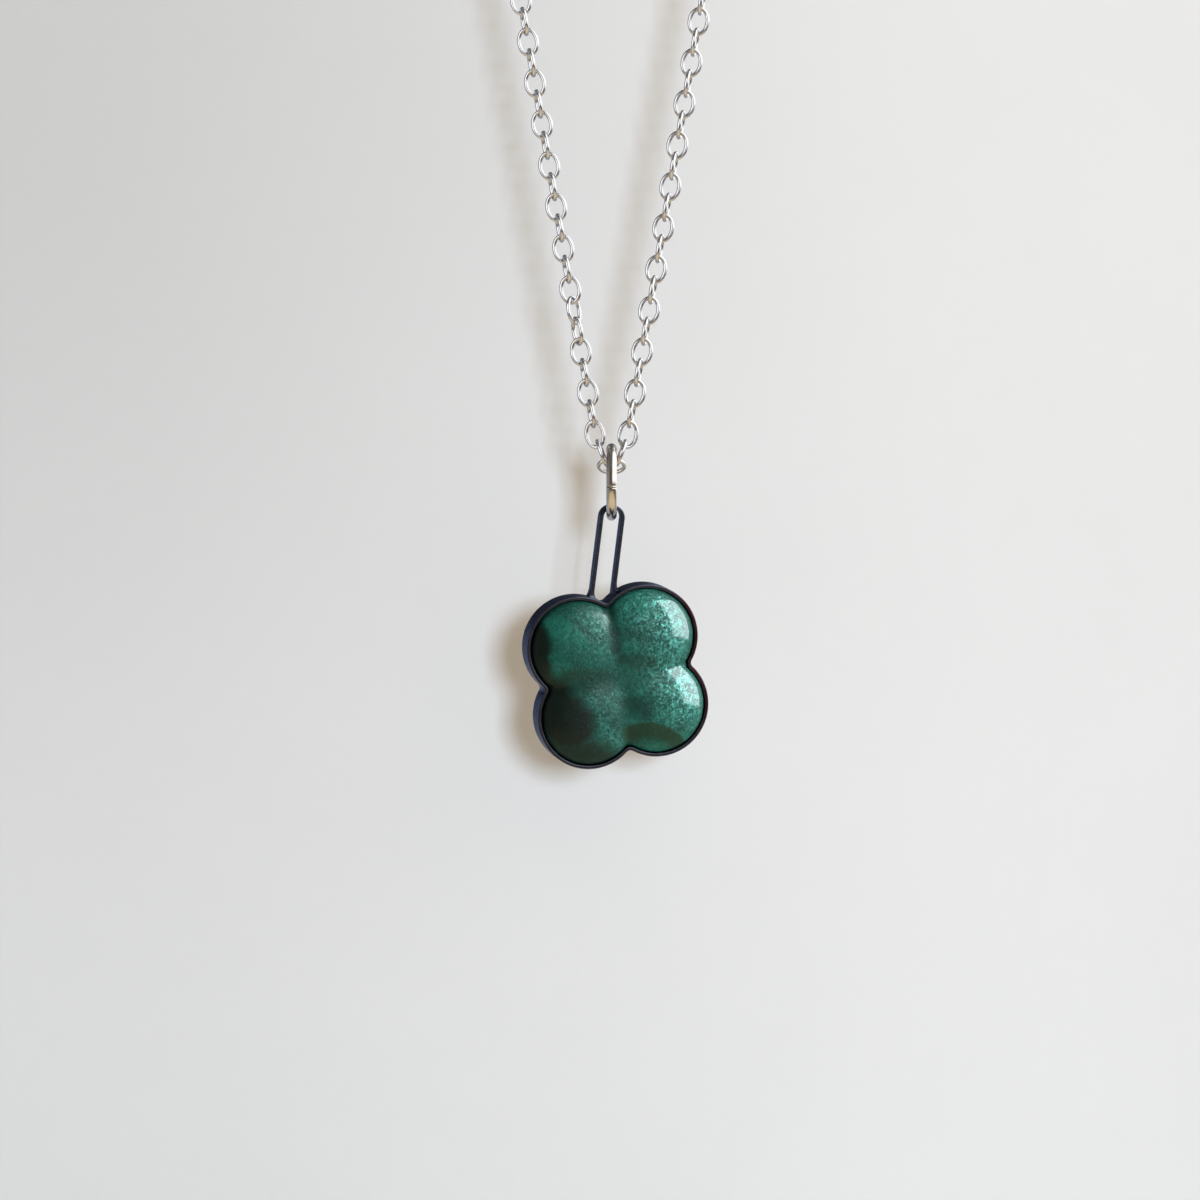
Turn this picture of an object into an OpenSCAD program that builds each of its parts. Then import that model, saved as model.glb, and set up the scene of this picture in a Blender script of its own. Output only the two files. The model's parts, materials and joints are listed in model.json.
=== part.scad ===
// Clover pendant on a cable chain.
// Z is up and the front faces -Y. The origin is where the necklace hangs, under the clasp.
// The necklace is one closed loop: two straight strands that rise from the middle link,
// and one round arc over the top, with the clasp at its highest point.

/* [Clover] */
// Width of the clover setting from side to side
clover_w = 16; // [14:0.5:18]
// Radius of the small round notch between two lobes
notch_r = 0.45; // [0.4:0.05:0.9]
// Depth of the setting from its back to its rim
cup_depth = 2.8; // [2.6:0.1:3.2]
// Thickness of the rim
rim_t = 0.32; // [0.3:0.02:0.4]
// Thickness of the back plate
back_t = 0.5; // [0.4:0.05:0.8]
// Turn of the clover in its own plane, to the left at the top
clover_tilt = 10.2; // [0:0.2:12]
// Turn of the whole pendant about the upright, which shows its left side
pendant_turn = 11; // [0:1:12]
// Lean of the whole pendant, its top to the front
pendant_pitch = 6; // [0:0.5:6]

/* [Bail loop] */
// Clear width of the slot in the bail
slot_w = 1.66; // [1.6:0.02:1.8]
// Length of the slot from the notch to its round top
slot_l = 8.6; // [8:0.1:9.5]
// Width of the strip that the bail is bent from
strip_t = 0.32; // [0.3:0.02:0.45]
// Depth of that strip, front to back
strip_depth = 1.3; // [0.9:0.05:1.3]
// How far the strip's back edge stays in front of the setting's back
strip_lift = 0.1; // [0.05:0.05:0.3]
// Lean of the bail against the clover's own upright
bail_lean = 16.2; // [8:0.2:20]

/* [Stone] */
// How far the stone's upright side stays below the rim's edge
girdle_drop = 0.55; // [0.4:0.05:0.8]
// Height of the domes above that side
dome_h = 2.1; // [1.6:0.1:2.4]
// Height of the middle of the stone, as a share of the domes' height
centre_share = 0.82; // [0.7:0.02:0.9]
// How square the domes' shoulders are
dome_power = 2.3; // [2:0.1:2.8]
// Gap between the stone and its setting
stone_gap = 0.08; // [0.05:0.01:0.12]

/* [Jump ring] */
// Outer diameter of the jump ring
ring_d = 7.1; // [7:0.05:7.2]
// Thickness of its wire
ring_wire = 0.96; // [0.9:0.02:0.98]
// Width of the open joint where its ends meet
ring_split = 0.12; // [0.08:0.02:0.2]

/* [Chain] */
// Links on each side, from the second one up to the clasp
links_per_side = 114; // [100:2:116]
// Distance from one link to the next
pitch = 1.92; // [1.92:0.01:1.94]
// Thickness of a link's wire
link_wire = 0.4; // [0.38:0.01:0.4]
// Outer length of a link
link_l = 2.83; // [2.82:0.01:2.84]
// Outer width of a link
link_w = 2.08; // [2.06:0.01:2.1]
// Angle of each strand from the upright
strand_angle = 9.7; // [9:0.1:10]

/* [Clasp] */
// Length of the clasp over its two eyes
clasp_l = 9; // [8.5:0.5:10]
// Diameter of its barrel
barrel_d = 2.8; // [2.4:0.1:3]
// Thickness of the wire of its eyes
eye_wire = 0.5; // [0.45:0.05:0.55]

/* [Hidden] */

steel = "#b9b6b0";
dark_steel = "#1d2233";
green_stone = "#1d6a4c";

// The clover: four lobes round the corners of a square, with a filleted notch on each side
lobe_r = clover_w * 0.3;
lobe_off = clover_w / 2 - lobe_r;
notch_centre = lobe_off + sqrt(pow(lobe_r + notch_r, 2) - pow(lobe_off, 2));
curve_fn = 96;

// The middle link lies through the ring, tilted, with the ring's inside just above it
middle_tilt = 45;
ring_gap = 0.08;
ring_line_r = (ring_d - ring_wire) / 2;
ring_centre_z = link_w / 2 + ring_gap + ring_wire / 2 - ring_line_r;
split_angle = 8.8;

// The bail hangs on the ring's lowest stretch with a small gap over the wire
bail_gap = 0.2;
pin_z = strip_lift + strip_depth / 2;
slot_end = [-0.13, notch_centre - notch_r];
slot_dir = [sin(bail_lean), cos(bail_lean)];
pin_point = slot_end + slot_dir * (slot_l - bail_gap - ring_wire / 2);

// A link's middle line: two half circles and two straight sides
link_bend = (link_w - link_wire) / 2;
link_straight = link_l - link_w;
link_reach = (link_l - link_wire) / 2;

// The first link on each side leans forward, and the second starts the straight strand
first_link = [0.88, -0.35, 1.18];
first_roll = 94.5;
second_link = [1.51, 0, 2.89];
second_roll = 19.5;
face_roll = 6;
edge_roll = 80;

// The left strand makes a quarter turn at these two links
twist_link = 6;
twist_rolls = [66, 126];

// The loop: each strand is a straight stretch and then an arc that meets the other at the top
eye_reach = (clasp_l - eye_wire) / 2;
eye_gap = 0.13;
eye_hook = link_reach - (eye_wire + link_wire) / 2 - eye_gap;
half_loop = (links_per_side - 1) * pitch + eye_hook + eye_reach;
arc_r = (half_loop + second_link.x / sin(strand_angle))
    / (1 / tan(strand_angle) + (90 + strand_angle) * PI / 180);
straight_l = (arc_r * cos(strand_angle) - second_link.x) / sin(strand_angle);
arc_centre_z = second_link.z + straight_l * cos(strand_angle) + arc_r * sin(strand_angle);
clasp_sag = arc_r - sqrt(pow(arc_r, 2) - pow(eye_reach, 2));
clasp_z = arc_centre_z + arc_r - clasp_sag;
hang_drop = clasp_z - barrel_d / 2;

// Outline of the clover, drawn in by a given amount
module clover_outline(inset) {
    for (x = [-1, 1], y = [-1, 1])
        translate([x * lobe_off, y * lobe_off]) circle(r = lobe_r - inset, $fn = curve_fn);
    square(2 * lobe_off, center = true);
    for (side = [0:3])
        rotate(side * 90)
            difference() {
                polygon([[-lobe_off, lobe_off], [lobe_off, lobe_off], [0, notch_centre]]);
                translate([0, notch_centre]) circle(r = notch_r + inset, $fn = curve_fn);
            }
}

// A slot with two round ends, from its lower end upwards, grown by a given amount
module slot_outline(grow) {
    for (end = [slot_w / 2, slot_l - slot_w / 2])
        translate([0, end]) circle(d = slot_w + 2 * grow, $fn = 48);
    translate([-slot_w / 2 - grow, slot_w / 2]) square([slot_w + 2 * grow, slot_l - slot_w]);
}

// The bail's strip seen from the front: a closed loop that stands in the notch
module bail_outline() {
    translate(slot_end)
        rotate(-bail_lean)
            difference() {
                slot_outline(strip_t);
                slot_outline(0);
            }
}

// Puts a piece of the pendant in its place, from the clover's own plane with its front up
module hang_pendant() {
    translate([0, 0, ring_centre_z - ring_line_r - hang_drop])
        rotate([0, 0, pendant_turn])
            rotate([pendant_pitch, 0, 0])
                rotate([0, -clover_tilt, 0])
                    rotate([90, 0, 0])
                        translate([-pin_point.x, -pin_point.y, -pin_z])
                            children();
}

// One dome of a given radius, from 1 over its centre down to 0 at its edge
function dome(distance, radius) =
    distance >= radius ? 0 : pow(1 - pow(distance / radius, dome_power), 1 / dome_power);

// The stone's height over its girdle at a point: four lobes and a middle, blended
stone_inset = rim_t + stone_gap;
blend = 7;
function stone_height(p) =
    let (
        lobes = [for (x = [-1, 1], y = [-1, 1])
            dome(norm(p - [x, y] * lobe_off), lobe_r - stone_inset)],
        middle = centre_share * dome(norm(p), notch_centre - notch_r - stone_inset)
    )
    dome_h * pow(
        pow(lobes[0], blend) + pow(lobes[1], blend) + pow(lobes[2], blend)
        + pow(lobes[3], blend) + pow(middle, blend), 1 / blend);

// How far the stone's outline is from its middle, at an angle from the nearest notch
stone_lobe_r = lobe_r - stone_inset;
stone_notch_r = notch_r + stone_inset;
notch_limit = atan2(
    lobe_off * stone_notch_r,
    notch_centre * (stone_lobe_r + stone_notch_r) - (notch_centre - lobe_off) * stone_notch_r);
function stone_reach(a) =
    abs(a) < notch_limit
        ? notch_centre * cos(a) - sqrt(pow(stone_notch_r, 2) - pow(notch_centre * sin(a), 2))
        : let (lobe_far = lobe_off * sqrt(2), turn = 45 - abs(a))
            lobe_far * cos(turn) + sqrt(pow(stone_lobe_r, 2) - pow(lobe_far * sin(turn), 2));

stone_sides = 96;
stone_rings = 12;
girdle_z = cup_depth - girdle_drop;
stone_base_z = back_t + stone_gap;
function stone_point(side, reach) =
    let (a = side * 360 / stone_sides, from_notch = (a + 45) % 90 - 45)
    stone_reach(from_notch) * reach * [sin(a), cos(a)];

// Four-lobed puffed stone on a straight girdle and a flat base
module stone() {
    rings = [for (k = [0:stone_rings - 1]) cos(90 * k / stone_rings)];
    dome_points = [for (reach = rings, side = [0:stone_sides - 1])
        let (p = stone_point(side, reach)) [p.x, p.y, girdle_z + stone_height(p)]];
    base_points = [for (side = [0:stone_sides - 1])
        let (p = stone_point(side, 1)) [p.x, p.y, stone_base_z]];
    top = len(dome_points);
    base = top + 1;
    points = concat(dome_points, [[0, 0, girdle_z + stone_height([0, 0])]], base_points);
    bands = [for (k = [0:stone_rings - 2], side = [0:stone_sides - 1])
        let (next = (side + 1) % stone_sides, low = k * stone_sides, high = low + stone_sides)
        each [[low + side, low + next, high + side], [low + next, high + next, high + side]]];
    last = (stone_rings - 1) * stone_sides;
    cap = [for (side = [0:stone_sides - 1]) [last + side, last + (side + 1) % stone_sides, top]];
    girdle = [for (side = [0:stone_sides - 1])
        let (next = (side + 1) % stone_sides)
        each [[base + side, next, side], [base + side, base + next, next]]];
    floor_face = [for (side = [0:stone_sides - 1]) base + stone_sides - 1 - side];
    color(green_stone)
        hang_pendant()
            polyhedron(points, concat(bands, cap, girdle, [floor_face]), convexity = 6);
}

// Open cup with a rim and a back plate, and the bail in one piece with it
module setting() {
    color(dark_steel)
        hang_pendant() {
            difference() {
                linear_extrude(cup_depth) clover_outline(0);
                translate([0, 0, back_t]) linear_extrude(cup_depth) clover_outline(rim_t);
            }
            difference() {
                translate([0, 0, strip_lift]) linear_extrude(strip_depth) bail_outline();
                linear_extrude(cup_depth) clover_outline(rim_t / 2);
            }
        }
}

// Round wire ring that stands edge on to the front, open at one narrow joint
module jump_ring() {
    split_turn = ring_split / ring_line_r * 180 / PI;
    color(steel)
        translate([0, 0, ring_centre_z - hang_drop])
            rotate([0, 90, 0])
                rotate([0, 0, split_angle + split_turn / 2 - 90])
                    rotate_extrude(angle = 360 - split_turn, $fn = curve_fn)
                        translate([ring_line_r, 0]) circle(d = ring_wire, $fn = 32);
}

// One link that stands upright, with its flat side to the front
module link() {
    for (end = [-1, 1])
        translate([0, 0, end * link_straight / 2])
            rotate([end * 90, 0, 0])
                rotate_extrude(angle = 180, $fn = 48)
                    translate([link_bend, 0]) circle(d = link_wire, $fn = 16);
    for (side = [-1, 1])
        translate([side * link_bend, 0, -link_straight / 2])
            cylinder(d = link_wire, h = link_straight, $fn = 16);
}

// A link on a strand's path, a given way up from the second link
module link_on_path(way, roll) {
    bend = max(0, way - straight_l) / arc_r * 180 / PI;
    straight = min(way, straight_l);
    place = way < straight_l
        ? [second_link.x + straight * sin(strand_angle), second_link.z + straight * cos(strand_angle)]
        : [arc_r * cos(bend - strand_angle), arc_centre_z + arc_r * sin(bend - strand_angle)];
    translate([place.x, 0, place.y])
        rotate([0, strand_angle - bend, 0])
            rotate([0, 0, roll])
                link();
}

// The first link of a strand, from the middle link up to the second link
module first_link_on_side() {
    step = second_link - first_link;
    translate(first_link)
        rotate([-asin(step.y / norm(step)), atan2(step.x, step.z), 0])
            rotate([0, 0, first_roll])
                link();
}

// The turn of a link about the strand: every second link shows its edge
function right_roll(k) = k == 0 ? second_roll : k % 2 == 0 ? face_roll : edge_roll;
function left_roll(k) =
    k < twist_link - 1 ? right_roll(k)
    : k <= twist_link ? twist_rolls[k - twist_link + 1]
    : right_roll(k + 1);

// The right strand, with the middle link that the ring hangs on
module chain_right() {
    color(steel)
        translate([0, 0, -hang_drop]) {
            rotate([middle_tilt, 0, 0]) rotate([0, 90, 0]) link();
            first_link_on_side();
            for (k = [0:links_per_side - 1]) link_on_path(k * pitch, right_roll(k));
        }
}

// The left strand, the right one's mirror image but for its quarter turn
module chain_left() {
    color(steel)
        translate([0, 0, -hang_drop])
            mirror([1, 0, 0]) {
                first_link_on_side();
                for (k = [0:links_per_side - 1]) link_on_path(k * pitch, left_roll(k));
            }
}

// Plain barrel with an eye at each end, the right one upright and the left one flat
eye_line_r = 0.9;
barrel_l = clasp_l - 4 * eye_line_r;
module clasp() {
    color(steel)
        translate([0, 0, barrel_d / 2]) {
            rotate([0, 90, 0]) cylinder(d = barrel_d, h = barrel_l, center = true, $fn = 48);
            for (side = [-1, 1]) {
                translate([side * barrel_l / 2, 0, 0])
                    rotate([0, side * 90, 0])
                        cylinder(d1 = barrel_d, d2 = barrel_d / 2, h = eye_line_r / 2, $fn = 48);
                translate([side * (eye_reach - eye_line_r), 0, 0])
                    rotate([side > 0 ? 90 : 0, 0, 0])
                        rotate_extrude($fn = 48)
                            translate([eye_line_r, 0]) circle(d = eye_wire, $fn = 16);
            }
        }
}

setting();
stone();
jump_ring();
chain_left();
chain_right();
clasp();
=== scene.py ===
"""The finished look of the clover pendant and its chain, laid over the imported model.

Pieces are shaped in millimetres in their own plane and then put in place in metres.
The clover's own plane has its right side along X, its top along Y and its front along Z.
"""

import json
from math import asin, atan2, cos, hypot, pi, radians, sin, sqrt, tan
from types import SimpleNamespace

import bmesh
import bpy
from bmesh.types import BMEdge, BMFace, BMVert
from bpy.props import FloatProperty, FloatVectorProperty, IntProperty, PointerProperty
from mathutils import Matrix, Vector

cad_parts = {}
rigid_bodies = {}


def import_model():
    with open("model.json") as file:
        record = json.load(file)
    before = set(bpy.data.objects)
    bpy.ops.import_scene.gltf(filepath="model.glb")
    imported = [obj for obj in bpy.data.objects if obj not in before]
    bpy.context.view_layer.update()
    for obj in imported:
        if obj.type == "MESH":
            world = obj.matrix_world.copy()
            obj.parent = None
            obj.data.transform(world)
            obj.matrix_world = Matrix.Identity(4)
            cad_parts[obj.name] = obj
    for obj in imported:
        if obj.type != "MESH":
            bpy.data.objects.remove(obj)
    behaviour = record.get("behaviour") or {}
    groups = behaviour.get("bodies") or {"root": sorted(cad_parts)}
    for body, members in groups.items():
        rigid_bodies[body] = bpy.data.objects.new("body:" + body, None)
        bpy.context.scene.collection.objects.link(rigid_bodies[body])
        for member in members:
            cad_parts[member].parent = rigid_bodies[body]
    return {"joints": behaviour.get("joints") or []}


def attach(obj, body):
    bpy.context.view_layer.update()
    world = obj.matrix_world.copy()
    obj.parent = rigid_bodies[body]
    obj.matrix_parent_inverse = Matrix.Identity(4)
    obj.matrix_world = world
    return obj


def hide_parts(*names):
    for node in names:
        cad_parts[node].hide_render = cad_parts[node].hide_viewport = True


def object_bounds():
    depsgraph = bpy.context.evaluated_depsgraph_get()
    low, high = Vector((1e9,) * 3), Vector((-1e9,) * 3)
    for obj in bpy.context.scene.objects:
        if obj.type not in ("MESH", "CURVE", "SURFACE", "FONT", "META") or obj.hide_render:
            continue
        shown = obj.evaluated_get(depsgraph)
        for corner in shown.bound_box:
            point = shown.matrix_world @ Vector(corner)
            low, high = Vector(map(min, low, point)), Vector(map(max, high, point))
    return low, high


bl_info = {
    "name": "Clover pendant",
    "version": (1, 0, 0),
    "blender": (4, 5, 0),
    "location": "3D View > Sidebar > Pendant",
    "description": "Makes a clover pendant with a green stone on a cable chain",
    "category": "Object",
}

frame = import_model()
CAD_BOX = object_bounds()
JOINT_AT = {joint["name"]: Vector(joint["pos_m"]) for joint in frame["joints"]}
MIDDLE_LINK = JOINT_AT["ring_swing"]
RING_FOOT = JOINT_AT["pendant_swing"]
MM = 0.001

# A lobe's radius as a share of the clover's width
LOBE_SHARE = 0.3

# Metal edges are rounded where their faces meet at more than this
SHARP_EDGE = radians(50)


def length(name, description, default):
    """A size in metres."""
    return FloatProperty(name=name, description=description, default=default, min=0, unit="LENGTH")


def angle(name, description, degrees):
    """An angle, given in degrees and kept in radians."""
    return FloatProperty(name=name, description=description, default=radians(degrees), subtype="ANGLE")


def share(name, description, default):
    """A plain number."""
    return FloatProperty(name=name, description=description, default=default, min=0)


def count(name, description, default):
    """A whole number."""
    return IntProperty(name=name, description=description, default=default, min=1)


def colour(name, description, default):
    """A colour with red, green and blue from 0 to 1."""
    return FloatVectorProperty(
        name=name, description=description, default=default, size=3, min=0, max=1, subtype="COLOR")


class PendantSizes(bpy.types.PropertyGroup):
    """Sizes of the clover, its bail, its stone and the ring that it hangs on"""

    clover_width: length("Clover width", "Width of the setting from side to side", 0.016)
    notch_radius: length("Notch radius", "Radius of the notch between two lobes", 0.00045)
    cup_depth: length("Cup depth", "Depth of the setting from its back to its rim", 0.0028)
    rim: length("Rim", "Thickness of the rim", 0.00032)
    back: length("Back plate", "Thickness of the back plate", 0.0005)
    edge_round: length("Edge rounding", "Rounding of the metal's edges", 0.00006)
    tilt: angle("Clover tilt", "Turn of the clover in its own plane, to the left at the top", 10.2)
    turn: angle("Turn", "Turn of the pendant about the upright", 11)
    pitch: angle("Lean", "Lean of the pendant, its top to the front", 6)
    slot_width: length("Slot width", "Clear width of the slot in the bail", 0.00166)
    slot_length: length("Slot length", "Length of the slot in the bail", 0.0086)
    slot_shift: length("Slot shift", "How far left of the notch the slot ends", 0.00013)
    strip: length("Strip thickness", "Thickness of the bail's strip", 0.00032)
    strip_depth: length("Strip depth", "Depth of the bail's strip, front to back", 0.0013)
    strip_lift: length("Strip lift", "How far the strip stays in front of the setting's back", 0.0001)
    solder_flare: length("Solder flare", "How far the bail's foot spreads where it is soldered", 0.0004)
    bail_lean: angle("Bail lean", "Lean of the bail against the clover's upright", 16.2)
    bail_gap: length("Bail gap", "Gap between the bail's round end and the ring", 0.0002)
    girdle_drop: length("Girdle drop", "Depth of the stone's upright side under the rim's edge", 0.00055)
    dome_height: length("Dome height", "Height of the domes over that side", 0.0021)
    centre_share: share("Centre height", "Height of the stone's middle as a share of the domes'", 0.82)
    dome_power: share("Dome squareness", "How square the domes' shoulders are", 2.3)
    valley: share("Valley sharpness", "How sharp the valleys between the domes are", 7)
    stone_gap: length("Stone gap", "Gap between the stone and its setting", 0.00008)
    ring_diameter: length("Ring diameter", "Outer diameter of the jump ring", 0.0071)
    ring_wire: length("Ring wire", "Thickness of the jump ring's wire", 0.00096)
    ring_split: length("Ring split", "Width of the ring's open joint at its right side", 0.0002)
    split_pinch: share("Split pinch", "How far the joint closes towards its left side", 0.85)
    split_drop: angle("Split drop", "How far below the ring's middle the joint is", 8.8)


class ChainSizes(bpy.types.PropertyGroup):
    """Sizes of the chain and its clasp"""

    links_per_side: count("Links on each side", "Links from the second one up to the clasp", 114)
    pitch: length("Pitch", "Distance from one link to the next", 0.00192)
    wire: length("Link wire", "Thickness of a link's wire", 0.0004)
    link_length: length("Link length", "Outer length of a link", 0.00283)
    link_width: length("Link width", "Outer width of a link", 0.00208)
    strand_angle: angle("Strand angle", "Angle of each strand from the upright", 9.7)
    middle_tilt: angle("Middle link tilt", "Tilt of the link that the ring hangs on", 45)
    clasp_length: length("Clasp length", "Length of the clasp over its two eyes", 0.009)
    barrel: length("Barrel diameter", "Diameter of the clasp's barrel", 0.0028)
    eye_wire: length("Eye wire", "Thickness of the wire of the clasp's eyes", 0.0005)
    eye_radius: length("Eye radius", "Radius of the middle line of an eye", 0.0009)


class PendantColours(bpy.types.PropertyGroup):
    """Colours of the metals, the stone and the stage"""

    dark_metal: colour("Dark plating", "Plated steel of the setting", (0.115, 0.125, 0.16))
    # A painted reflection tint, laid on the right side of the plating
    dark_metal_tint: colour("Plating tint", "Purple cast at the plating's right", (0.125, 0.056, 0.068))
    steel: colour("Steel", "Polished steel of the chain and its clasp", (0.63, 0.63, 0.64))
    ring_steel: colour("Ring steel", "Polished steel of the jump ring", (0.62, 0.57, 0.515))
    stone_mid: colour("Stone", "Green of the stone's body", (0.022, 0.255, 0.180))
    stone_deep: colour("Stone depth", "Darker green of its clouds", (0.006, 0.085, 0.058))
    # Painted shade and dark reflection, with some darker stone, in the dark zones
    stone_dark: colour("Stone shade", "Near-black green of its dark zones", (0.008, 0.016, 0.011))
    # Painted reflection of the dark room below, in the lens low on the right lobe
    stone_olive: colour("Stone olive", "Dark olive of the lens low on its right", (0.016, 0.040, 0.015))
    stone_fleck: colour("Stone flakes", "Pale green of its crystal flakes", (0.11, 0.44, 0.37))
    wall: colour("Wall", "Pale wall behind the pendant", (0.78, 0.80, 0.81))
    floor: colour("Floor", "Pale floor", (0.70, 0.74, 0.77))


def in_mm(group):
    """The group's values by name, with its lengths in millimetres."""
    return SimpleNamespace(**{
        prop.identifier: getattr(group, prop.identifier) / MM if prop.unit == "LENGTH"
        else getattr(group, prop.identifier)
        for prop in group.bl_rna.properties if prop.type in ("FLOAT", "INT")})


def clover_shape(s):
    """Radii, centres and arc angles of the clover's outline, in millimetres."""
    lobe_r = s.clover_width * LOBE_SHARE
    lobe_off = s.clover_width / 2 - lobe_r
    notch_at = lobe_off + sqrt((lobe_r + s.notch_radius) ** 2 - lobe_off ** 2)
    touch = atan2(notch_at - lobe_off, -lobe_off)
    return SimpleNamespace(
        lobe_r=lobe_r, lobe_off=lobe_off, notch_at=notch_at, notch_bottom=notch_at - s.notch_radius,
        lobe_start=pi / 2 - touch, lobe_sweep=2 * touch - pi / 2, notch_sweep=2 * touch - pi)


def pendant_place(s):
    """Matrix from the clover's own plane, in millimetres, to its place on the ring, in metres."""
    shape = clover_shape(s)
    reach = s.slot_length - s.bail_gap - s.ring_wire / 2
    pin = Vector((
        -s.slot_shift + reach * sin(s.bail_lean),
        shape.notch_bottom + reach * cos(s.bail_lean),
        s.strip_lift + s.strip_depth / 2))
    turned = (
        Matrix.Rotation(s.turn, 4, "Z") @ Matrix.Rotation(s.pitch, 4, "X")
        @ Matrix.Rotation(-s.tilt, 4, "Y") @ Matrix.Rotation(pi / 2, 4, "X"))
    return Matrix.Translation(RING_FOOT) @ turned @ Matrix.Scale(MM, 4) @ Matrix.Translation(-pin)


def set_down(point):
    """Matrix from millimetres about a point to metres in the scene."""
    return Matrix.Translation(point) @ Matrix.Scale(MM, 4)


def only(kind, geom):
    """The vertices, edges or faces among some mesh elements."""
    return [element for element in geom if isinstance(element, kind)]


def carry(bm, geom, centre, turn, steps, axis=(0, 0, 1), close=False):
    """Spins mesh elements round a centre and returns the last ones, or joins them to the first."""
    return bmesh.ops.spin(
        bm, geom=geom, cent=centre, axis=axis, angle=turn, steps=steps, use_merge=close,
        use_duplicate=False)["geom_last"]


def add_hoop(bm, wire, radius, sides, steps, turn=0):
    """The vertices of a hoop of round wire about the Y axis. Its first section may be turned."""
    before = set(bm.verts)
    disc = bmesh.ops.create_circle(bm, segments=sides, radius=wire)["verts"]
    lines = dict.fromkeys(edge for vert in disc for edge in vert.link_edges)
    start = Matrix.Rotation(turn, 4, "Y") @ Matrix.Translation((radius, 0, 0))
    bmesh.ops.transform(bm, matrix=start, verts=disc)
    carry(bm, [*lines, *disc], (0, 0, 0), 2 * pi, steps, axis=(0, 1, 0), close=True)
    return [vert for vert in bm.verts if vert not in before]


def push(bm, geom, by):
    """Extrudes mesh elements in a straight line and returns the new ones."""
    grown = bmesh.ops.extrude_face_region(bm, geom=geom)["geom"]
    bmesh.ops.translate(bm, vec=by, verts=only(BMVert, grown))
    return grown


def tidy(bm, reach=1e-5):
    """Closes the seams and turns every face outwards."""
    bmesh.ops.remove_doubles(bm, verts=bm.verts, dist=reach)
    bmesh.ops.recalc_face_normals(bm, faces=bm.faces)


def round_edges(bm, sharper_than, radius):
    """Rounds every edge whose faces meet at more than an angle."""
    sharp = [edge for edge in bm.edges if edge.is_manifold and edge.calc_face_angle() > sharper_than]
    bmesh.ops.bevel(
        bm, geom=sharp, offset=radius, offset_type="OFFSET", affect="EDGES", segments=4, profile=0.5,
        material=-1, clamp_overlap=True)


def add_object(name, data):
    """A new object in the scene."""
    made = bpy.data.objects.new(name, data)
    bpy.context.scene.collection.objects.link(made)
    return made


def mesh_object(name, bm, place):
    """An object whose mesh is in its place, in metres, with smooth faces."""
    bm.transform(place)
    mesh = bpy.data.meshes.new(name)
    bm.to_mesh(mesh)
    bm.free()
    mesh.shade_smooth()
    return add_object(name, mesh)


def hand_over(piece, body, node, material):
    """Gives a piece its material and its CAD body, and hides the CAD node that it stands for."""
    piece.data.materials.append(material)
    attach(piece, body)
    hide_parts(node)


def weigh_normals(piece):
    """Keeps broad faces flat beside rounded edges."""
    modifier = piece.modifiers.new("flat faces", "WEIGHTED_NORMAL")
    modifier.weight = 80
    modifier.keep_sharp = True


def unite(piece, other):
    """Joins two closed meshes into one and drops the second object."""
    modifier = piece.modifiers.new("joined", "BOOLEAN")
    modifier.operation = "UNION"
    modifier.solver = "EXACT"
    modifier.object = other
    seen = piece.evaluated_get(bpy.context.evaluated_depsgraph_get())
    joined = bpy.data.meshes.new_from_object(seen)
    piece.modifiers.clear()
    piece.data = joined
    joined.shade_smooth()
    bpy.data.objects.remove(other)


# Materials


def feed(made, inputs):
    """Gives a node's inputs values, or joins them to other nodes' outputs."""
    for name, value in inputs.items():
        socket = made.inputs[name]
        if isinstance(value, bpy.types.NodeSocket):
            made.id_data.links.new(value, socket)
        elif socket.type == "RGBA":
            socket.default_value = (*value, 1.0)
        else:
            socket.default_value = value


def add_node(tree, kind, inputs=None, **settings):
    """A new shader node with its settings and inputs."""
    made = tree.nodes.new("ShaderNode" + kind)
    for name, value in settings.items():
        setattr(made, name, value)
    feed(made, inputs or {})
    return made


def node(kind, inputs, **settings):
    """A new shader node in the tree of the outputs that it is joined to."""
    tree = next(value.id_data for value in inputs.values() if isinstance(value, bpy.types.NodeSocket))
    return add_node(tree, kind, inputs, **settings)


def maths(operation, *values):
    """The result of a Math node."""
    return node("Math", dict(enumerate(values)), operation=operation).outputs[0]


def times(first, second):
    """One number multiplied by another."""
    return maths("MULTIPLY", first, second)


def larger(first, second):
    """The larger of two numbers."""
    return maths("MAXIMUM", first, second)


def vector_maths(operation, *values):
    """The result of a Vector Math node, which is a number for a length or a dot product."""
    made = node("VectorMath", dict(enumerate(values)), operation=operation)
    return made.outputs["Value" if operation in ("DOT_PRODUCT", "LENGTH") else "Vector"]


def scaled(vector, factor):
    """A vector multiplied by a number."""
    return node("VectorMath", {0: vector, "Scale": factor}, operation="SCALE").outputs["Vector"]


def xyz(vector):
    """A vector's coordinates by name."""
    return node("SeparateXYZ", {"Vector": vector}).outputs


def fade(value, low, high):
    """A smooth step from 0 to 1 while the input goes from low to high."""
    return node("MapRange", {"Value": value, "From Min": low, "From Max": high},
                interpolation_type="SMOOTHSTEP").outputs["Result"]


# Where the Mix node has its two colours and its result
MIX_FIRST, MIX_SECOND, MIX_RESULT = 6, 7, 2


def blended(mask, first, second, kind="MIX"):
    """Two colours mixed by a mask."""
    inputs = {"Factor": mask, MIX_FIRST: first, MIX_SECOND: second}
    return node("Mix", inputs, data_type="RGBA", blend_type=kind).outputs[MIX_RESULT]


def noise(vector, scale, detail, roughness=0.5, distortion=0.0):
    """The value of a noise pattern."""
    return node("TexNoise", {
        "Vector": vector, "Scale": scale, "Detail": detail, "Roughness": roughness,
        "Distortion": distortion}).outputs["Fac"]


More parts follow.
